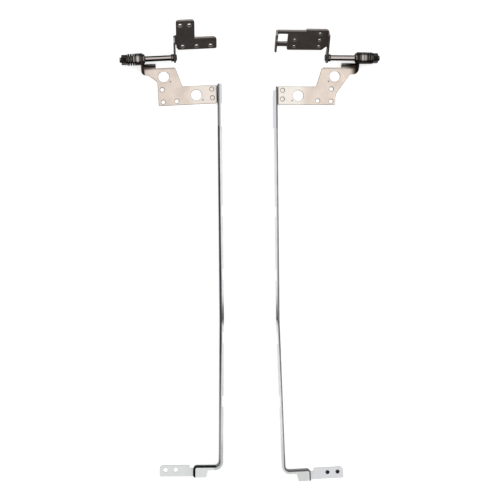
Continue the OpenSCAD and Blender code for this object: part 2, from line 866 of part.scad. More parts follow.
// The opening between the end wall's strips
module ladder_window() {
    inner = end_wall_at + bracket_out + fold_clear;
    translate([0, 0, -bracket_drop - overlap]) linear_extrude(bracket_t + 2 * overlap)
        polygon(rounded([
            [inner, window_low, small_round],
            [ladder_end, window_low, small_round],
            [ladder_end, window_high, small_round],
            [inner, window_high, small_round]
        ]));
}

module base_bracket_right() {
    line = right_flange - bracket_out;
    color("#2d2926") base_side() {
        difference() {
            union() {
                bracket_plate(rounded([
                    [end_wall_at + bracket_out, ladder_low, 0],
                    [ladder_end, ladder_low, small_round],
                    [ladder_end, right_low, 2 * small_round],
                    [line - fold_clear - right_low_slope[0], right_low, small_round],
                    [line - fold_clear, right_low + right_low_slope[1], small_round],
                    [line - fold_clear, right_fold[0], 0],
                    [line, right_fold[0], 0],
                    [line, right_top, 0],
                    [right_step_at, right_top, small_round],
                    [right_step_at - right_step / 2, ladder_top, small_round],
                    [end_wall_at + bracket_out, ladder_top, 0]
                ]), right_base_holes, right_base_hole_r);
                shaft_flange(right_flange, right_fold[0], right_fold[1], flange_rise);
            }
            translate([right_flange, right_top, 0]) mirror([0, 1, 0]) corner_cutter(right_fold_corner);
            ladder_window();
        }
        end_wall();
    }
}

// The pieces of the left hinge

module left_lid_plate() {
    left_hinge() lid_plate(
        plate_outline(left_ear, left_side, left_knee, left_knee_round, left_neck, left_lip, left_top_corner),
        left_ear, left_lip, left_big_hole);
}

module left_side_rail() {
    left_hinge() side_rail(left_rail_top, waist_d, left_rail_w);
}

module left_ear_washer() {
    left_hinge() ear_washer(left_ear);
}

module left_base_bracket() {
    left_hinge() base_bracket_left();
}

module left_hinge_shaft() {
    left_hinge() hinge_shaft(left_ear, left_flange);
}

module left_inner_washer() {
    left_hinge() keyed_washer(left_ear + inner_washer_at, collar_r, inner_washer_t);
}

module left_pressure_washer() {
    left_hinge() keyed_washer(left_ear + pressure_at, washer_r, pressure_washer_t);
}

module left_thrust_washer() {
    left_hinge() keyed_washer(left_ear + thrust_at, washer_r, thrust_washer_t);
}

module left_disc_spring_1() {
    left_hinge() disc_spring(left_ear, 0);
}

module left_disc_spring_2() {
    left_hinge() disc_spring(left_ear, 1);
}

module left_disc_spring_3() {
    left_hinge() disc_spring(left_ear, 2);
}

module left_disc_spring_4() {
    left_hinge() disc_spring(left_ear, 3);
}

module left_disc_spring_5() {
    left_hinge() disc_spring(left_ear, 4);
}

module left_disc_spring_6() {
    left_hinge() disc_spring(left_ear, 5);
}

module left_end_washer() {
    left_hinge() keyed_washer(left_ear + end_washer_at, end_washer_r, end_washer_t);
}

module left_lock_nut() {
    left_hinge() lock_nut(left_ear);
}

// The pieces of the right hinge

module right_lid_plate() {
    right_hinge() lid_plate(
        plate_outline(
            right_ear, right_side, right_knee, right_knee_round, right_neck,
            right_lip, right_top_corner),
        right_ear, right_lip, right_big_hole);
}

module right_side_rail() {
    right_hinge() side_rail(right_flange_top, 0, wide_w);
}

module right_ear_washer() {
    right_hinge() ear_washer(right_ear);
}

module right_foot_insert_1() {
    right_hinge() foot_insert(foot_holes[0]);
}

module right_foot_insert_2() {
    right_hinge() foot_insert(foot_holes[1]);
}

module right_base_bracket() {
    right_hinge() base_bracket_right();
}

module right_hinge_shaft() {
    right_hinge() hinge_shaft(right_ear, right_flange);
}

module right_inner_washer() {
    right_hinge() keyed_washer(right_ear + inner_washer_at, collar_r, inner_washer_t);
}

module right_pressure_washer() {
    right_hinge() keyed_washer(right_ear + pressure_at, washer_r, pressure_washer_t);
}

module right_thrust_washer() {
    right_hinge() keyed_washer(right_ear + thrust_at, washer_r, thrust_washer_t);
}

module right_disc_spring_1() {
    right_hinge() disc_spring(right_ear, 0);
}

module right_disc_spring_2() {
    right_hinge() disc_spring(right_ear, 1);
}

module right_disc_spring_3() {
    right_hinge() disc_spring(right_ear, 2);
}

module right_disc_spring_4() {
    right_hinge() disc_spring(right_ear, 3);
}

module right_disc_spring_5() {
    right_hinge() disc_spring(right_ear, 4);
}

module right_disc_spring_6() {
    right_hinge() disc_spring(right_ear, 5);
}

module right_end_washer() {
    right_hinge() keyed_washer(right_ear + end_washer_at, end_washer_r, end_washer_t);
}

module right_lock_nut() {
    right_hinge() lock_nut(right_ear);
}

left_lid_plate();
left_side_rail();
left_ear_washer();
left_base_bracket();
left_hinge_shaft();
left_inner_washer();
left_pressure_washer();
left_thrust_washer();
left_disc_spring_1();
left_disc_spring_2();
left_disc_spring_3();
left_disc_spring_4();
left_disc_spring_5();
left_disc_spring_6();
left_end_washer();
left_lock_nut();
right_lid_plate();
right_side_rail();
right_ear_washer();
right_foot_insert_1();
right_foot_insert_2();
right_base_bracket();
right_hinge_shaft();
right_inner_washer();
right_pressure_washer();
right_thrust_washer();
right_disc_spring_1();
right_disc_spring_2();
right_disc_spring_3();
right_disc_spring_4();
right_disc_spring_5();
right_disc_spring_6();
right_end_washer();
right_lock_nut();
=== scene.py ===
"""The look of the laptop hinge pair: metal finishes, rounded sheet edges, thread, light and camera."""

import json
import math

import bmesh
import bpy
from mathutils import Matrix, Vector

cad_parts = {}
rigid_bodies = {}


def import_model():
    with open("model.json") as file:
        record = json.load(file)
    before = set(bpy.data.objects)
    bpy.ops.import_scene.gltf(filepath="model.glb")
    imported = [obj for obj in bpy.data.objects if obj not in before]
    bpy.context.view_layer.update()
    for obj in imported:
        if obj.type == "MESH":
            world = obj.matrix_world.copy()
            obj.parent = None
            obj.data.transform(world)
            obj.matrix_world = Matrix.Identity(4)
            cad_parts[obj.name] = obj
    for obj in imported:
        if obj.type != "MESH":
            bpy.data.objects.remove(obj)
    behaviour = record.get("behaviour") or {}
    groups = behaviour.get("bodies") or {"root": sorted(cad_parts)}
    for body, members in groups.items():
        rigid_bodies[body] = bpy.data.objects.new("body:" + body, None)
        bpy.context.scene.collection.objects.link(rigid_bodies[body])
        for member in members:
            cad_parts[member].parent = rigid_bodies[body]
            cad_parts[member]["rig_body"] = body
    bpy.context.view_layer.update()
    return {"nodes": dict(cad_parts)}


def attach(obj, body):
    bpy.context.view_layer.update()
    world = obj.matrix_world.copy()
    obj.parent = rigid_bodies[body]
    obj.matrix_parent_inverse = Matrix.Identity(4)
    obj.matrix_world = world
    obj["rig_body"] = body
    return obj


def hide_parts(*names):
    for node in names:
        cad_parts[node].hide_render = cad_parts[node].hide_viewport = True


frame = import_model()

MM = 0.001
SIDES = ("left", "right")

# Where each hinge stands, as in the part's source: the rail's outer face at the hinge axis, the axis,
# the middle that the head turns about, and its turn
RAIL_FACE = {"left": -18.5, "right": 14.4}
AXIS_Y = {"left": 108.31, "right": 107.51}
AXIS_Z = 4.6
HEAD_MIDDLE = -20.35
HEAD_TURN = {"left": math.radians(2.8), "right": math.radians(0.3)}

# Along the shaft, outwards from the rail: the ear, the bracket's flange, and the nut's end past the ear
EAR = {"left": 40.9, "right": 45.0}
FLANGE = {"left": 22.8, "right": 27.6}
NUT_END = 10.4

# The base brackets lean back by this much, and their far face lies this far behind the axis
BRACKET_TILT = math.radians(45.0)
BRACKET_BACK = 3.25
BRACKET_SHEET = 1.1
# Screw holes of the brackets, along the shaft and up the bracket
BRACKET_HOLES = {
    "left": ((18.9, 18.7), (14.0, 18.7), (17.8, 5.3), (10.2, 5.3), (2.6, 5.3)),
    "right": ((22.4, 13.7), (22.4, 9.6), (22.4, 5.5), (8.8, 9.6), (8.8, 5.5)),
}
# Cut edges of each bracket that catch the light: height up the bracket, and from where to where
# along the shaft, and how far from such a height a face may lie to count as part of the edge
BRACKET_EDGES = {
    "left": ((21.9, 11.5, 21.5), (10.7, 0.0, 11.2)),
    "right": ((16.6, 13.5, 27.0), (15.8, -1.8, 14.5), (8.4, -1.0, 4.6)),
}
EDGE_REACH = 0.6
# How far above and below such an edge the front face gets a grey painted highlight
RIM_REACH = 0.3

# Lid plates: height of the top face, a margin above it, and where the lip and the ear begin to turn up
PLATE_TOP = 1.6
PLATE_MARGIN = 0.02
LIP_FOLD = -7.0
EAR_FOLD = 2.2

# Thread turns in the bracket holes, which start at the back of each hole's collar. They are drawn
# coarser than real thread, so that it shows from the photograph's distance
HOLE_COLLAR = 1.2
HOLE_R = {"left": 1.25, "right": 1.05}
HOLE_THREAD = {"left": 0.34, "right": 0.24}
HOLE_INSET = 0.02
HOLE_PITCH = 0.37
HOLE_TURNS = 5
# Thread turns on the shaft's free end, past the nut
TIP_R = 1.45
TIP_THREAD = 0.1
TIP_PITCH = 0.3
TIP_TURNS = 3
TIP_GAP = 0.2
# Points round one turn, and round the thread's own thickness
POINTS_PER_TURN = 40
POINTS_PER_WIRE = 8

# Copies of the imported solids: points closer than this are merged, in millimetres, and triangles that
# bend less than this are joined first. Edges bent more than SHARP_EDGE are rounded, in few steps and a
# little fuller than a circle, and those bent more than SHADED_EDGE afterwards stay sharp to the eye
SAME_POINT = 0.002
FLAT_JOIN = math.radians(0.6)
SHARP_EDGE = math.radians(35.0)
SHADED_EDGE = math.radians(30.0)
ROUNDING_STEPS = 2
ROUNDING_FULLNESS = 0.6
PLATE_ROUNDING = 0.2
BRACKET_ROUNDING = 0.16


# Small helpers

def linear(code):
    """A hex colour as seen on a screen, turned into the linear values that shaders take."""
    parts = [int(code[i:i + 2], 16) / 255 for i in (1, 3, 5)]
    return [c / 12.92 if c <= 0.04045 else ((c + 0.055) / 1.055) ** 2.4 for c in parts] + [1.0]


def add_node(tree, kind, inputs=None, **settings):
    """Adds one node, sets its properties, and sets or links its inputs."""
    node = tree.nodes.new(kind)
    for name, value in settings.items():
        setattr(node, name, value)
    for name, value in (inputs or {}).items():
        socket = node.inputs[name]
        if isinstance(value, bpy.types.NodeSocket):
            tree.links.new(value, socket)
        else:
            socket.default_value = value
    return node


def join(tree, operation, first, second):
    """One arithmetic node on two numbers or sockets."""
    return add_node(tree, "ShaderNodeMath", {0: first, 1: second}, operation=operation).outputs["Value"]


def outwards(side):
    """The way along X that leads outwards from a rail to its ear."""
    return 1 if side == "right" else -1


def from_hinge(side, u, n, z):
    """A place given outwards from the rail, along the plate and up from the table, in the pair's frame."""
    depth = n - HEAD_MIDDLE
    turn = HEAD_TURN[side]
    x = u * math.cos(turn) + depth * math.sin(turn)
    y = HEAD_MIDDLE - u * math.sin(turn) + depth * math.cos(turn)
    return Vector((RAIL_FACE[side] + outwards(side) * x, AXIS_Y[side] + y, z)) * MM


def to_hinge(side, place):
    """The reverse of from_hinge, in millimetres."""
    x = (place.x / MM - RAIL_FACE[side]) * outwards(side)
    y = place.y / MM - AXIS_Y[side] - HEAD_MIDDLE
    turn = HEAD_TURN[side]
    u = x * math.cos(turn) - y * math.sin(turn)
    n = HEAD_MIDDLE + x * math.sin(turn) + y * math.cos(turn)
    return Vector((u, n, place.z / MM))


def on_bracket(side, u, up, out):
    """A place along the shaft, up a base bracket and out from the axis, in the pair's frame."""
    return from_hinge(side, u, up * math.cos(BRACKET_TILT) - out * math.sin(BRACKET_TILT),
                      AXIS_Z + up * math.sin(BRACKET_TILT) + out * math.cos(BRACKET_TILT))


def hinge_place(tree, place, side):
    """Object coordinates turned into the hinge's own millimetres: outwards, along the plate, up."""
    origin = from_hinge(side, 0.0, 0.0, 0.0)
    way = outwards(side)
    return add_node(tree, "ShaderNodeMapping", {
        "Vector": place, "Location": origin, "Rotation": (0.0, 0.0, -way * HEAD_TURN[side]),
        "Scale": (way * MM, MM, MM)}, vector_type="TEXTURE").outputs["Vector"]


def between(axis, first, last, fade):
    """Two ranges that keep a zone between two places and let it fade beyond them."""
    return (axis, first - fade, first), (axis, last + fade, last)


def zone_mask(tree, axes, strength, ranges):
    """How strongly a zone's tint shows: its strength where all its ranges are full, 0 outside them."""
    mask = None
    for axis, begin, full in ranges:
        step = add_node(tree, "ShaderNodeMapRange", {
            "Value": axes.outputs[axis], "From Min": begin, "From Max": full},
            interpolation_type="SMOOTHSTEP").outputs["Result"]
        mask = step if mask is None else join(tree, "MULTIPLY", mask, step)
    return join(tree, "MULTIPLY", mask, strength)


# Noise values lie mostly between these two. The grain makes a finish this much glossier or duller
NOISE_LOW = 0.3
NOISE_HIGH = 0.7
GRAIN_SHINE = 0.06
GRAIN_DULL = 0.08
BUMP_STRENGTH = 0.5
# Pale flecks, a bit over a millimetre apart: the noise values where they begin and are full
FLECKS_PER_METRE = 900.0
FLECK_BEGIN = 0.62
FLECK_FULL = 0.72
FLECK_STRENGTH = 0.5


def metal(name, light, dark, roughness, grain_mm, bump_mm, metallic=1.0, streak=(1.0, 1.0, 1.0),
          spots=None, side=None, zones=(), cloud_mm=5.0):
    """A metal finish: cloudy colour from light to dark, fine grain, uneven gloss, and tinted zones.

    Each zone is a colour, a strength, and ranges. A range names an axis of the hinge's own frame and
    the two places in millimetres where the zone begins and where it is full."""
    material = bpy.data.materials.new(name)
    material.use_nodes = True
    tree = material.node_tree
    tree.nodes.clear()
    place = add_node(tree, "ShaderNodeTexCoord").outputs["Object"]
    cloud = add_node(tree, "ShaderNodeTexNoise", {
        "Vector": place, "Scale": 1 / (cloud_mm * MM), "Detail": 3.0})
    stretched = add_node(tree, "ShaderNodeMapping", {"Vector": place, "Scale": streak})
    grain = add_node(tree, "ShaderNodeTexNoise", {
        "Vector": stretched.outputs["Vector"], "Scale": 1 / (grain_mm * MM), "Detail": 4.0})
    tone = add_node(tree, "ShaderNodeValToRGB", {"Fac": cloud.outputs["Fac"]})
    for stop, position, code in zip(tone.color_ramp.elements, (NOISE_LOW, NOISE_HIGH), (dark, light)):
        stop.position = position
        stop.color = linear(code)
    colour = tone.outputs["Color"]
    layers = []
    if spots:
        fleck = add_node(tree, "ShaderNodeTexNoise", {
            "Vector": place, "Scale": FLECKS_PER_METRE, "Detail": 2.0})
        mask = add_node(tree, "ShaderNodeMapRange", {
            "Value": fleck.outputs["Fac"], "From Min": FLECK_BEGIN, "From Max": FLECK_FULL,
            "To Min": 0.0, "To Max": FLECK_STRENGTH})
        layers.append((spots, mask.outputs["Result"]))
    if zones:
        axes = add_node(tree, "ShaderNodeSeparateXYZ", {"Vector": hinge_place(tree, place, side)})
    for tint, strength, *ranges in zones:
        layers.append((tint, zone_mask(tree, axes, strength, ranges)))
    for tint, mask in layers:
        mixed = add_node(tree, "ShaderNodeMix", {"Factor": mask}, data_type="RGBA")
        tree.links.new(colour, mixed.inputs["A"])
        mixed.inputs["B"].default_value = linear(tint)
        colour = mixed.outputs["Result"]
    gloss = add_node(tree, "ShaderNodeMapRange", {
        "Value": grain.outputs["Fac"], "From Min": NOISE_LOW, "From Max": NOISE_HIGH,
        "To Min": roughness - GRAIN_SHINE, "To Max": roughness + GRAIN_DULL})
    bump = add_node(tree, "ShaderNodeBump", {
        "Height": grain.outputs["Fac"], "Distance": bump_mm * MM, "Strength": BUMP_STRENGTH})
    shader = add_node(tree, "ShaderNodeBsdfPrincipled", {
        "Base Color": colour, "Metallic": metallic, "Roughness": gloss.outputs["Result"],
        "Normal": bump.outputs["Normal"]})
    add_node(tree, "ShaderNodeOutputMaterial", {"Surface": shader.outputs["BSDF"]})
    return material


# Finishes

# How far from the ear's outer face the painted shade of the ear reaches into the plate
EAR_SHADE_REACH = {"left": 2.6, "right": 5.0}


def plate_tone_and_shade(side, arm_tint, whole_lip_shade, lip_shade_near_ear, ear_fold_shade):
    """A paler arm, and painted shade on the turned-up lip and ear, fading into the flat plate."""
    ear = EAR[side]
    lip = ("Y", -6.1, -4.1)
    # The arm's tint is the plate's own paler tone; the lip and ear tints are painted shade
    return (
        (arm_tint, 0.8, ("X", 17.0, 12.0)),
        (whole_lip_shade, 1.0, lip),
        (lip_shade_near_ear, 1.0, lip, ("X", ear - 8.5, ear - 3.5)),
        (ear_fold_shade, 1.0, ("X", ear - EAR_SHADE_REACH[side], ear - 1.1), ("Y", -9.0, -7.8)),
    )


# Nickel-plated lid plates, warm pinkish tan as if still lightly oiled, with painted shade on the lip and ear
PLATE_GRAIN = (1.0, 0.35, 1.0)
plate_nickel = {
    "left": metal("left_plate_nickel", "#ECDED2", "#DECFC4", 0.38, 0.5, 0.004,
                  streak=PLATE_GRAIN, side="left",
                  zones=plate_tone_and_shade("left", "#F3EAE1", "#5B5655", "#453C38", "#4B3D3A")),
    "right": metal("right_plate_nickel", "#F0E1D5", "#E0D2C6", 0.38, 0.5, 0.004,
                   streak=PLATE_GRAIN, side="right",
                   zones=plate_tone_and_shade("right", "#FAF5EE", "#76736E", "#332B26", "#332D28")),
}

# The same plates' punched edges: browner, rougher, a painted shadow outline, painted shade on ear and lip
plate_edge_and_shade = {
    "left": metal("left_plate_edge", "#9A8F87", "#7E746D", 0.5, 0.3, 0.004, side="left",
                  zones=plate_tone_and_shade("left", "#A99F97", "#4B4645", "#3A312E", "#3A2E2B")),
    "right": metal("right_plate_edge", "#9A8F87", "#7E746D", 0.5, 0.3, 0.004, side="right",
                   zones=plate_tone_and_shade("right", "#A99F97", "#5B5955", "#2A2320", "#2A2522")),
}

# Zinc-plated rail flange and foot: pale with a cold lilac cast, greyer beside the lid plate and
# greener on the foot, whose plate is paler than the shelf above it
RAIL_GRAIN = (1.0, 0.1, 1.0)
ON_FOOT = ("Y", -205.0, -215.0)
rail_zinc = {
    "left": metal("left_rail_zinc", "#F3F2F5", "#E8E7EA", 0.42, 0.6, 0.004,
                  streak=RAIL_GRAIN, side="left", zones=(
                      ("#DAD9DE", 1.0, ("Y", -45.0, -35.0)),
                      ("#DEDDE0", 1.0, ("Y", -150.0, -190.0)),
                      ("#C5C7C4", 1.0, ON_FOOT),
                      ("#E1E3E3", 1.0, ON_FOOT, ("X", 13.0, 15.0)))),
    "right": metal("right_rail_zinc", "#EEEDF0", "#E4E3E6", 0.42, 0.6, 0.004,
                   streak=RAIL_GRAIN, side="right", zones=(
                       ("#DDDCE2", 1.0, ("Y", -55.0, -45.0)),
                       ("#D6D8D6", 1.0, ON_FOOT),
                       ("#DFE0E3", 1.0, ON_FOOT, ("X", 15.0, 17.0)))),
}

# The rails' folded edges in painted shade: dark on the left but paler by the lid plate and towards the foot,
# mid grey on the right but darker by the plate and on the foot, both nearly black at the step down in the foot
rail_fold_shade = {
    "left": metal("left_rail_fold", "#545456", "#444446", 0.5, 0.4, 0.004, side="left", zones=(
        ("#8E8E90", 1.0, ("Y", -38.5, -37.5)),
        ("#A2A2A2", 1.0, ("Y", -150.0, -210.0)),
        ("#7E7E80", 1.0, ("Y", -219.0, -222.0), ("X", 1.0, 3.0)),
        ("#131314", 1.0, ON_FOOT, ("X", 12.2, 13.2)))),
    "right": metal("right_rail_fold", "#A4A4A4", "#909090", 0.5, 0.4, 0.004, side="right", zones=(
        ("#6C6B6D", 1.0, ("Y", -39.5, -38.0)),
        ("#6E6E70", 1.0, ("Y", -215.0, -226.0)),
        ("#131314", 1.0, ON_FOOT, ("X", 18.6, 19.6)))),
}


def bracket_rim_highlights(side):
    """Painted highlights on the strip of a bracket's front face beside each lit cut edge, as grey as the edge.
    """
    rims = []
    for edge, first, last in BRACKET_EDGES[side]:
        top = AXIS_Z + (edge - BRACKET_BACK + BRACKET_SHEET) * math.sin(BRACKET_TILT)
        height = between("Z", top - RIM_REACH, top + RIM_REACH, 0.2)
        rims.append(("#948D88", 1.0, *height, *between("X", first, last, 0.3)))
    return rims


# Black oxide on the base brackets: warm and satin, flecked, with painted highlights at spots on the folds
bracket_black = {
    "left": metal("left_bracket_black", "#3D352F", "#302A26", 0.42, 0.25, 0.006, metallic=0.0,
                  spots="#4A423D", side="left", zones=(
                      ("#D8D4D1", 1.0, ("X", 22.0, 22.4), *between("Y", 7.1, 9.1, 0.5)),
                      *bracket_rim_highlights("left"))),
    "right": metal("right_bracket_black", "#3E342F", "#312925", 0.42, 0.25, 0.006, metallic=0.0,
                   spots="#4A423D", side="right", zones=(
                       ("#E8E4E1", 1.0, ("X", 26.6, 27.0), *between("Y", 10.8, 12.3, 0.5)),
                       ("#CAC6C3", 1.0, ("X", -1.3, -1.6), *between("Y", 10.2, 11.5, 0.5)),
                       *bracket_rim_highlights("right"))),
}
# Cut edges of the black brackets that look up the slope, in a grey painted highlight
bracket_edge_highlight = metal("bracket_edge_highlight", "#ABA6A2", "#928C87", 0.42, 0.3, 0.004, metallic=0.0)
# Thread on the shaft's free end: dark oiled steel
thread_black = metal("thread_black", "#4A4542", "#35302D", 0.3, 0.2, 0.002)
# Cut thread in the brackets' holes: matt grey
thread_grey = metal("thread_grey", "#8F8983", "#6B645F", 0.5, 0.2, 0.002, metallic=0.0)

# Oiled dark steel of the washers, discs and nut, with painted highlights along the top of two of the rings.
# Each highlighted ring is given by where it begins and ends past the ear
RING_HIGHLIGHTS = {"left": ((0.9, 2.2), (3.2, 3.8)), "right": ((1.1, 2.1), (2.5, 3.8))}
RING_HIGHLIGHT_TINTS = ("#BDB7B3", "#B4AEAA")


def washer_highlights(side):
    """Painted highlights: grey along the top of the whole stack, and the bright rings."""
    zones = [("#5A5551", 1.0, ("Z", 7.2, 7.7))]
    for tint, (first, last) in zip(RING_HIGHLIGHT_TINTS, RING_HIGHLIGHTS[side]):
        ring = between("X", EAR[side] + first + 0.1, EAR[side] + last - 0.1, 0.2)
        zones.append((tint, 1.0, ("Z", 6.9, 7.6), *ring))
    return zones


washer_steel = {side: metal(f"{side}_washer_steel", "#2E2A28", "#1C1A18", 0.3, 0.2, 0.003, side=side,
                            zones=washer_highlights(side)) for side in SIDES}

# The height at which the painted highlight along the top of each shaft begins
SHAFT_HIGHLIGHT = {"left": 5.95, "right": 5.86}


def shaft_highlights(side):
    """Painted highlights: a line along the free shaft, glints on both collars, and a paler end past the nut.
    """
    ear, flange, line = EAR[side], FLANGE[side], SHAFT_HIGHLIGHT[side]
    return (
        ("#C9BEBA", 1.0, ("Z", line, line + 0.14), *between("X", flange + 1.7, ear - 2.8, 0.4)),
        ("#8A8480", 0.9, ("Z", 6.9, 7.2), ("X", ear - 2.3, ear - 2.1)),
        ("#8A8480", 0.8, ("Z", 6.25, 6.45), *between("X", flange + 0.5, flange + 0.9, 0.2)),
        ("#86807C", 0.9, ("Z", 5.2, 5.5), ("X", ear + NUT_END + 0.1, ear + NUT_END + 0.2)),
    )


# Dark steel of the shafts
shaft_steel = {side: metal(f"{side}_shaft_steel", "#1E1A19", "#141211", 0.25, 0.3, 0.002,
                           streak=(0.2, 1.0, 1.0), side=side, zones=shaft_highlights(side)) for side in SIDES}
# Blackened inserts in the right foot
insert_black = metal("insert_black", "#2C2D2E", "#1A1B1C", 0.4, 0.2, 0.004, metallic=0.4)


# Stage: a white table under a wide soft lamp, in a room that is darker low down

WHITE = (1.0, 1.0, 1.0, 1.0)
TABLE_GLOW = 0.62
TABLE_REACH = 12.0
TABLE_DROP = 0.00002
# Strength of the room's light from low down and from high up, and the two heights between which it
# changes, where 1 is straight up
ROOM_DIM = 0.12
ROOM_BRIGHT = 0.28
ROOM_LOW = 0.35
ROOM_HIGH = 0.85
# Each lamp's name, place and width in metres, and power in watts
LAMPS = (
    ("ceiling_lamp", (0.0, 0.0, 1.4), 4.0, 36.0),
    ("right_lamp", (1.2, 0.3, 0.9), 0.8, 2.0),
)


def table_finish():
    """White paper: lit by the lamps, and bright white where the eye or a shiny metal looks at it."""
    white = bpy.data.materials.new("table_white")
    white.use_nodes = True
    tree = white.node_tree
    tree.nodes.clear()
    paper = add_node(tree, "ShaderNodeBsdfDiffuse", {"Color": linear("#E6E6E6")})
    looks = add_node(tree, "ShaderNodeLightPath")
    seen = looks.outputs["Is Camera Ray"]
    for kind in ("Is Glossy Ray", "Is Transmission Ray"):
        seen = join(tree, "MAXIMUM", seen, looks.outputs[kind])
    glow = join(tree, "MULTIPLY", seen, TABLE_GLOW)
    lit = add_node(tree, "ShaderNodeEmission", {"Color": WHITE, "Strength": glow})
    both = add_node(tree, "ShaderNodeAddShader", {0: paper.outputs["BSDF"], 1: lit.outputs["Emission"]})
    add_node(tree, "ShaderNodeOutputMaterial", {"Surface": both.outputs["Shader"]})
    return white


def table():
    """A wide flat table top just under the pair."""
    mesh = bpy.data.meshes.new("table_top")
    corners = [(x * TABLE_REACH, y * TABLE_REACH, 0) for x, y in ((-1, -1), (1, -1), (1, 1), (-1, 1))]
    mesh.from_pydata(corners, [], [(0, 1, 2, 3)])
    mesh.materials.append(table_finish())
    top = bpy.data.objects.new("table_top", mesh)
    bpy.context.scene.collection.objects.link(top)
    top.location.z = -TABLE_DROP


def room():
    """Soft light from all round, weaker from low down than from above."""
    world = bpy.data.worlds.new("room")
    bpy.context.scene.world = world
    world.use_nodes = True
    tree = world.node_tree
    tree.nodes.clear()
    height = add_node(tree, "ShaderNodeSeparateXYZ", {
        "Vector": add_node(tree, "ShaderNodeTexCoord").outputs["Generated"]}).outputs["Z"]
    bright = add_node(tree, "ShaderNodeMapRange", {
        "Value": height, "From Min": ROOM_LOW, "From Max": ROOM_HIGH,
        "To Min": ROOM_DIM, "To Max": ROOM_BRIGHT},
        interpolation_type="SMOOTHSTEP").outputs["Result"]
    walls = add_node(tree, "ShaderNodeBackground", {"Color": WHITE, "Strength": bright})
    add_node(tree, "ShaderNodeOutputWorld", {"Surface": walls.outputs["Background"]})


def lamps():
    """Square lamps that all look at the middle of the table."""
    for name, place, size, power in LAMPS:
        lamp = bpy.data.lights.new(name, "AREA")
        lamp.shape = "SQUARE"
        lamp.size = size
        lamp.energy = power
        holder = bpy.data.objects.new(name, lamp)
        bpy.context.scene.collection.objects.link(holder)
        holder.location = place
        holder.rotation_mode = "QUATERNION"
        holder.rotation_quaternion = (-Vector(place)).to_track_quat("-Z", "Y")


def camera():
    """The photograph's view: from above and left of the middle, nearly straight down, turned a little.

    It looks from eye towards aim, and its lens is shifted so that middle falls in the picture's middle."""
    eye = Vector((-56.1, 3.05, 591.0)) * MM
    aim = Vector((-14.1, 2.51, 0.0)) * MM
    middle = Vector((-1.3, 2.22, 0.0)) * MM
    seen_width = 275.0 * MM
    turn = math.radians(0.55)
    away = (aim - eye).normalized()
    level = away.cross(Vector((0.0, 1.0, 0.0))).normalized()
    upward = level.cross(away)
    across = level * math.cos(turn) - upward * math.sin(turn)
    upright = level * math.sin(turn) + upward * math.cos(turn)
    zoom = (aim - eye).length / seen_width
    seen = middle - eye
    data = bpy.data.cameras.new("photo_camera")
    data.sensor_width = 36.0
    data.lens = data.sensor_width * zoom
    data.shift_x = zoom * seen.dot(across) / seen.dot(away)
    data.shift_y = zoom * seen.dot(upright) / seen.dot(away)
    data.clip_start = 0.01
    data.clip_end = 40.0
    holder = bpy.data.objects.new("photo_camera", data)
    bpy.context.scene.collection.objects.link(holder)
    holder.matrix_world = Matrix.Translation(eye) @ Matrix((across, upright, -away)).transposed().to_4x4()
    bpy.context.scene.camera = holder


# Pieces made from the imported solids

# How far upright a face's direction has to be, out of 1: to count as a level face of a rail or a plate,
# as part of a plate's turned-up fold, and, up the slope, as a bracket's cut edge
LEVEL_RAIL = 0.995
LEVEL_PLATE = 0.97
FOLD_LOOKS_UP = 0.2
EDGE_LOOKS_UP = 0.3


def rounded_copy(node, name, width_mm, finishes, pick, below_mm=None):
    """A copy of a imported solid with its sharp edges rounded, and a finish for each face by pick().

    With below_mm, only edges lower than that are rounded, and short ones don't hold the width back."""
    body = bmesh.new()
    body.from_mesh(frame["nodes"][node].data)
    bmesh.ops.remove_doubles(body, verts=body.verts, dist=SAME_POINT * MM)
    bmesh.ops.dissolve_limit(body, angle_limit=FLAT_JOIN, verts=body.verts, edges=body.edges,
                             use_dissolve_boundaries=False)
    sharp = [e for e in body.edges if len(e.link_faces) == 2 and e.calc_face_angle(0.0) > SHARP_EDGE]
    if below_mm:
        sharp = [e for e in sharp if max(v.co.z for v in e.verts) < below_mm * MM]
    if width_mm and sharp:
        bmesh.ops.bevel(body, geom=sharp, offset=width_mm * MM, offset_type="OFFSET",
                        segments=ROUNDING_STEPS, profile=ROUNDING_FULLNESS, affect="EDGES",
                        clamp_overlap=not below_mm, harden_normals=False)
    bmesh.ops.triangulate(body, faces=[f for f in body.faces if len(f.verts) > 4])
    bmesh.ops.recalc_face_normals(body, faces=body.faces)
    for face in body.faces:
        face.material_index = pick(face)
        face.smooth = True
    mesh = bpy.data.meshes.new(name)
    body.to_mesh(mesh)
    body.free()
    for finish in finishes:
        mesh.materials.append(finish)
    mesh.set_sharp_from_angle(angle=SHADED_EDGE)
    piece = bpy.data.objects.new(name, mesh)
    bpy.context.scene.collection.objects.link(piece)
    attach(piece, frame["nodes"][node]["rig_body"])
    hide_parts(node)


def rail_face(face):
    """Picks 0 for a face that looks straight up or down, 1 for any other."""
    return 0 if abs(face.normal.z) > LEVEL_RAIL else 1


def plate_face(side):
    """Picks 1 for the plate's punched edges and the rounding along them, 0 for its broad faces and folds."""
    def pick(face):
        place = to_hinge(side, face.calc_center_median())
        turned_up = place.y > LIP_FOLD or place.x > EAR[side] - EAR_FOLD or place.z > PLATE_TOP + PLATE_MARGIN
        flat = abs(face.normal.z) > LEVEL_PLATE
        fold = face.normal.z > FOLD_LOOKS_UP and turned_up
        return 0 if flat or fold else 1
    return pick


def bracket_face(side):
    """Picks 1 for the painted highlight on the upper cut edges, which look up the slope, 0 for the rest."""
    def pick(face):
        place = to_hinge(side, face.calc_center_median())
        slope = (place.y + place.z - AXIS_Z) * math.sqrt(0.5)
        looks_up = (face.normal.y + face.normal.z) * math.sqrt(0.5) > EDGE_LOOKS_UP
        on_edge = any(abs(slope - edge) < EDGE_REACH and first < place.x < last
                      for edge, first, last in BRACKET_EDGES[side])
        return 1 if looks_up and on_edge else 0
    return pick


# Thread turns

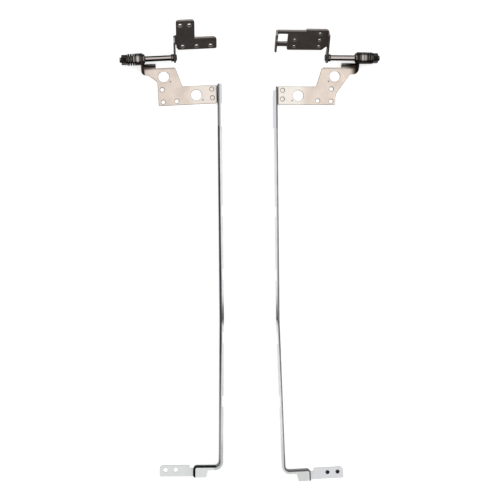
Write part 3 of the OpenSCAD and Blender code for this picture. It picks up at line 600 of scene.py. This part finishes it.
def ring_stack_tree(finish):
    """A node tree that stands a stack of thread turns on every point of a mesh, along a direction."""
    tree = bpy.data.node_groups.new("thread_turns", "GeometryNodeTree")
    for name, kind in (
        ("Places", "NodeSocketGeometry"), ("Turn radius", "NodeSocketFloat"),
        ("Thread radius", "NodeSocketFloat"), ("Pitch", "NodeSocketFloat"),
        ("Turns", "NodeSocketInt"), ("Direction", "NodeSocketVector"),
    ):
        tree.interface.new_socket(name=name, in_out="INPUT", socket_type=kind)
    tree.interface.new_socket(name="Result", in_out="OUTPUT", socket_type="NodeSocketGeometry")
    given = add_node(tree, "NodeGroupInput").outputs
    step = add_node(tree, "ShaderNodeCombineXYZ", {"Z": given["Pitch"]})
    line = add_node(tree, "GeometryNodeMeshLine", {
        "Count": given["Turns"], "Offset": step.outputs["Vector"]})
    turn = add_node(tree, "GeometryNodeCurvePrimitiveCircle", {
        "Resolution": POINTS_PER_TURN, "Radius": given["Turn radius"]})
    wire = add_node(tree, "GeometryNodeCurvePrimitiveCircle", {
        "Resolution": POINTS_PER_WIRE, "Radius": given["Thread radius"]})
    ring = add_node(tree, "GeometryNodeCurveToMesh", {
        "Curve": turn.outputs["Curve"], "Profile Curve": wire.outputs["Curve"]})
    stack = add_node(tree, "GeometryNodeInstanceOnPoints", {
        "Points": line.outputs["Mesh"], "Instance": ring.outputs["Mesh"]})
    aim = add_node(tree, "FunctionNodeAlignRotationToVector", {"Vector": given["Direction"]}, axis="Z")
    placed = add_node(tree, "GeometryNodeInstanceOnPoints", {
        "Points": given["Places"], "Instance": stack.outputs["Instances"],
        "Rotation": aim.outputs["Rotation"]})
    solid = add_node(tree, "GeometryNodeRealizeInstances", {"Geometry": placed.outputs["Instances"]})
    coated = add_node(tree, "GeometryNodeSetMaterial", {
        "Geometry": solid.outputs["Geometry"], "Material": finish})
    add_node(tree, "NodeGroupOutput", {"Result": coated.outputs["Geometry"]})
    return tree


def thread_turns(name, tree, body, places, sizes, finish):
    """Thread turns around each place, turned into a plain mesh that rides with a body.

    The sizes are the tree's inputs by name. The mesh gets its own finish in place of the tree's."""
    seeds = bpy.data.meshes.new(name + "_seeds")
    seeds.from_pydata([tuple(place) for place in places], [], [])
    holder = bpy.data.objects.new(name + "_seeds", seeds)
    bpy.context.scene.collection.objects.link(holder)
    nodes = holder.modifiers.new("turns", "NODES")
    nodes.node_group = tree
    for item in tree.interface.items_tree:
        if item.in_out == "INPUT" and item.name in sizes:
            nodes[item.identifier] = sizes[item.name]
    bpy.context.view_layer.update()
    mesh = bpy.data.meshes.new_from_object(holder.evaluated_get(bpy.context.evaluated_depsgraph_get()))
    bpy.data.objects.remove(holder)
    mesh.name = name
    mesh.materials.clear()
    mesh.materials.append(finish)
    for polygon in mesh.polygons:
        polygon.material_index = 0
        polygon.use_smooth = True
    piece = bpy.data.objects.new(name, mesh)
    bpy.context.scene.collection.objects.link(piece)
    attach(piece, body)


def hinge_threads(side, tree):
    """The thread in the bracket's holes and on the shaft's free end."""
    base_body = frame["nodes"][f"{side}_base_bracket"]["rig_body"]
    out = (on_bracket(side, 0, 0, 1) - on_bracket(side, 0, 0, 0)).normalized()
    along = (from_hinge(side, 1, 0, 0) - from_hinge(side, 0, 0, 0)).normalized()
    start = -BRACKET_BACK - HOLE_COLLAR + HOLE_THREAD[side]
    thread_turns(f"{side}_hole_thread", tree, base_body,
                 [on_bracket(side, u, up, start) for u, up in BRACKET_HOLES[side]],
                 {"Turn radius": (HOLE_R[side] - HOLE_INSET) * MM, "Thread radius": HOLE_THREAD[side] * MM,
                  "Pitch": HOLE_PITCH * MM, "Turns": HOLE_TURNS, "Direction": out}, thread_grey)
    thread_turns(f"{side}_shaft_thread", tree, base_body,
                 [from_hinge(side, EAR[side] + NUT_END + TIP_GAP, 0, AXIS_Z)],
                 {"Turn radius": (TIP_R - TIP_THREAD) * MM, "Thread radius": TIP_THREAD * MM,
                  "Pitch": TIP_PITCH * MM, "Turns": TIP_TURNS, "Direction": along}, thread_black)


# The two hinges

def dress_sheet_pieces(side):
    """The rail, whose edges stay as they are, and the lid plate and base bracket with rounded ones."""
    rounded_copy(f"{side}_side_rail", f"{side}_rail", 0.0,
                 [rail_zinc[side], rail_fold_shade[side]], rail_face)
    rounded_copy(f"{side}_lid_plate", f"{side}_plate", PLATE_ROUNDING,
                 [plate_nickel[side], plate_edge_and_shade[side]], plate_face(side), below_mm=PLATE_TOP + PLATE_MARGIN)
    rounded_copy(f"{side}_base_bracket", f"{side}_bracket", BRACKET_ROUNDING,
                 [bracket_black[side], bracket_edge_highlight], bracket_face(side))


def dress_turned_pieces(side):
    """The shaft, the stack's washers, discs and nut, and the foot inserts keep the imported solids' shapes."""
    finishes = {"washer": washer_steel[side], "disc": washer_steel[side], "nut": washer_steel[side],
                "shaft": shaft_steel[side], "insert": insert_black}
    for node, solid in frame["nodes"].items():
        for word, finish in finishes.items():
            if node.startswith(side) and word in node:
                solid.data.materials.clear()
                solid.data.materials.append(finish)


bpy.context.scene.view_settings.view_transform = "Standard"
table()
room()
lamps()
camera()
for side in SIDES:
    dress_sheet_pieces(side)
    dress_turned_pieces(side)
turns_tree = ring_stack_tree(thread_black)
for side in SIDES:
    hinge_threads(side, turns_tree)
